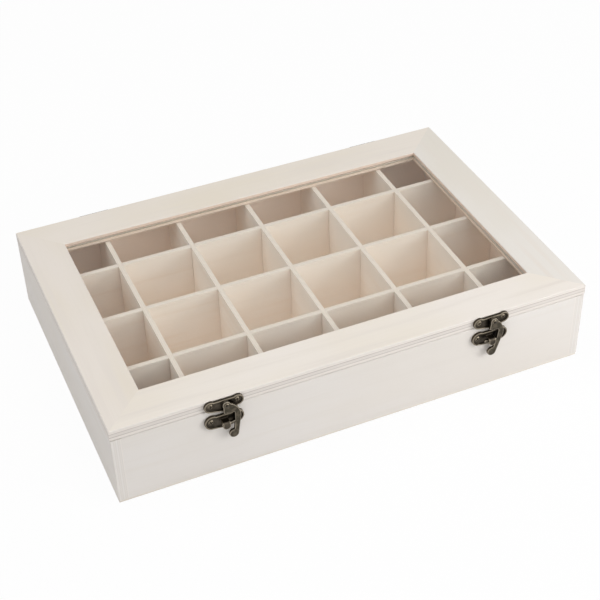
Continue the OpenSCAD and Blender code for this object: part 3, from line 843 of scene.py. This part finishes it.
def soft_lamp(name, at, size, watts):
    """A square white lamp that faces the middle of the box. Its place and size are in metres."""
    lamp = bpy.data.lights.new(name, "AREA")
    lamp.shape = "SQUARE"
    lamp.size = size
    lamp.energy = watts
    lamp.color = WHITE[:3]
    stand = bpy.data.objects.new(name, lamp)
    bpy.context.scene.collection.objects.link(stand)
    stand.location = at
    way = BOX_MIDDLE - Vector(at)
    stand.rotation_euler = way.to_track_quat("-Z", "Y").to_euler()
    print(name, "stands", round(way.length, 2), "m away with", watts, "W")


soft_lamp("right_light", at=(0.85, -0.75, 0.45), size=0.6, watts=5.6)
soft_lamp("front_light", at=(0.45, -1.5, 1.7), size=1.6, watts=12.2)
soft_lamp("left_light", at=(-1.6, 0.0, 1.6), size=1.4, watts=10.0)
soft_lamp("ceiling_light", at=(-0.1, 0.2, 2.2), size=2.0, watts=11.8)

bpy.context.scene.view_settings.view_transform = "Standard"
bpy.context.scene.cycles.diffuse_bounces = DIFFUSE_BOUNCES

# %% [markdown]
# ## Background
#
# The white around the box comes from what the camera sees of the floor and the world, also in
# metal and through glass, and not from more light. Light that has met a matt surface sees the
# plain fill and the plain floor instead, so the white doesn't brighten the box, and the floor
# keeps its shadow.
#
# The world is dimmer overhead, where a studio has its dark ceiling. That is what the pane
# mirrors, so it stays clear. Its height in the sky goes from 0 at the horizon to 1 straight
# above.

# %% Background
WORLD_FILL = 0.4
OVERHEAD = 0.38
OVERHEAD_SHOWS = (0.25, 0.6)
FLOOR_HALF = 3.0
FLOOR_WHITE_SHARE = 0.95
PAPER_GREY = "#E9E9E9"


def seen_directly(tree):
    """1 where the camera looks, through glass and in metal too, and 0 for light on the object."""
    path = add_node(tree, "ShaderNodeLightPath").outputs
    seen = calculate(tree, "MAXIMUM", path["Is Camera Ray"], path["Is Transmission Ray"])
    seen = calculate(tree, "MAXIMUM", seen, path["Is Glossy Ray"])
    unscattered = calculate(tree, "LESS_THAN", path["Diffuse Depth"], 0.5)
    return calculate(tree, "MULTIPLY", seen, unscattered)


world = bpy.data.worlds.new("studio")
world.use_nodes = True
bpy.context.scene.world = world
sky = world.node_tree
sky.nodes.clear()
direction = add_node(sky, "ShaderNodeTexCoord").outputs["Generated"]
height = add_node(sky, "ShaderNodeSeparateXYZ", {0: direction}).outputs["Z"]
fill = add_node(sky, "ShaderNodeBackground", {"Color": WHITE, "Strength": WORLD_FILL})
white = add_node(sky, "ShaderNodeBackground", {"Color": WHITE, "Strength": 1.0})
dim = add_node(sky, "ShaderNodeBackground", {"Color": WHITE, "Strength": OVERHEAD})
sockets = {0: fade(sky, height, *OVERHEAD_SHOWS), 1: white.outputs[0], 2: dim.outputs[0]}
backdrop = add_node(sky, "ShaderNodeMixShader", sockets)
sockets = {0: seen_directly(sky), 1: fill.outputs[0], 2: backdrop.outputs[0]}
both = add_node(sky, "ShaderNodeMixShader", sockets)
add_node(sky, "ShaderNodeOutputWorld", {0: both.outputs[0]})

floor_mesh = bpy.data.meshes.new("floor")
corners = [(x * FLOOR_HALF, y * FLOOR_HALF, 0) for x, y in ((-1, -1), (1, -1), (1, 1), (-1, 1))]
floor_mesh.from_pydata(corners, [], [(0, 1, 2, 3)])
floor = link(floor_mesh, "floor")
paper, tree, output = new_material("white_paper_sweep")
matt = add_node(tree, "ShaderNodeBsdfDiffuse", {"Color": shade(PAPER_GREY)})
glow = add_node(tree, "ShaderNodeEmission", {"Color": WHITE, "Strength": 1.0})
share = calculate(tree, "MULTIPLY", seen_directly(tree), FLOOR_WHITE_SHARE)
mixed = add_node(tree, "ShaderNodeMixShader", {0: share, 1: matt.outputs[0], 2: glow.outputs[0]})
tree.links.new(mixed.outputs[0], output.inputs[0])
floor.data.materials.append(paper)
print("floor", 2 * FLOOR_HALF, "m wide, world's fill", WORLD_FILL, "and overhead", OVERHEAD)
